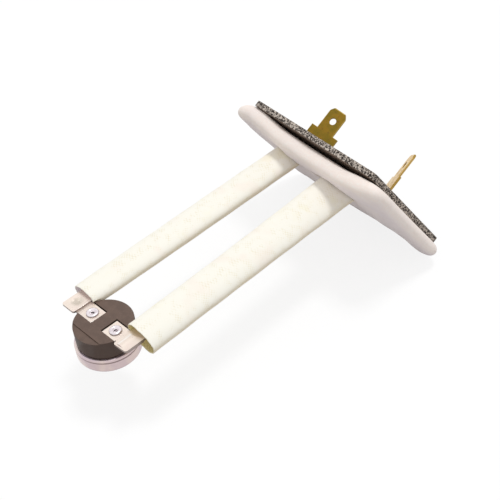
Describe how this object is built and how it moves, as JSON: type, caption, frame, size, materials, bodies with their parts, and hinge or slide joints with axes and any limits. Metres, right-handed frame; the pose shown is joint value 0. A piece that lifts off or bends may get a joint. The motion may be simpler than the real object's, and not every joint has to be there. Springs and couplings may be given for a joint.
{
  "type": "disc thermostat",
  "caption": "Stem-mounted snap disc thermostat: a small round switch on sleeved flat stems behind a slanted mineral-board plate with a soft fibre pad and push-on spade tabs.",
  "frame": {"origin": "centre of the aluminium cup's flat sensing face", "axes": "+Z along the thermostat's axis from the sensing face to the terminals, +Y along the stems to the plate, +X across the thermostat from the rear stem to the front stem"},
  "size_m": [0.0658, 0.115, 0.0406],
  "materials": {
    "phenolic": "moulded, satin",
    "cup_aluminium": "deep drawn, soft sheen",
    "stem_steel": "tinned, satin",
    "rivet_steel": "plated",
    "tab_brass": "dull, oxidised",
    "contact_brass": "stamped",
    "contact_silver": "bright",
    "bimetal": "rolled",
    "pin_ceramic": "fired, matt",
    "mineral_board": "speckled, pressed",
    "fibre_pad": "soft felted fibre",
    "glass_sleeve": "fine braided"
  },
  "bodies": {
    "stem_assembly": {"mounting_plate": "mineral_board", "insulation_pad": "fibre_pad", "rear_spade_tab": "tab_brass", "front_spade_tab": "tab_brass", "rear_stem_strip": "stem_steel", "front_stem_strip": "stem_steel", "rear_sleeve": "glass_sleeve", "front_sleeve": "glass_sleeve", "thermostat_housing": "phenolic", "thermostat_cap": "cup_aluminium", "bimetal_disc": "bimetal", "disc_guide_plate": "pin_ceramic", "rear_terminal": "stem_steel", "front_terminal": "stem_steel", "rear_terminal_rivet": "rivet_steel", "front_terminal_rivet": "rivet_steel", "fixed_contact_bar": "contact_brass", "fixed_contact_rivet": "contact_silver", "contact_arm_bracket": "contact_brass"},
    "pin": {"transfer_pin": "pin_ceramic"},
    "contact_arm": {"moving_contact_arm": "contact_brass", "moving_contact_rivet": "contact_silver"}
  },
  "joints": [
    {"name": "transfer_pin_slide", "type": "slide", "parent": "stem_assembly", "child": "pin", "axis": [0, 0, 1], "range_m": [0, 0.00035], "deforming": ["bimetal_disc"]},
    {"name": "contact_arm_hinge", "type": "hinge", "parent": "stem_assembly", "child": "contact_arm", "pos_m": [-0.0028, 0, 0.0054], "axis": [0, -1, 0], "range_deg": [0, 7.2], "stiffness_Nm_per_rad": 0.004, "springref_deg": -5.73}
  ],
  "couplings": [
    {"joint": "contact_arm_hinge", "follows": "transfer_pin_slide", "rad_per_m": 357}
  ]
}
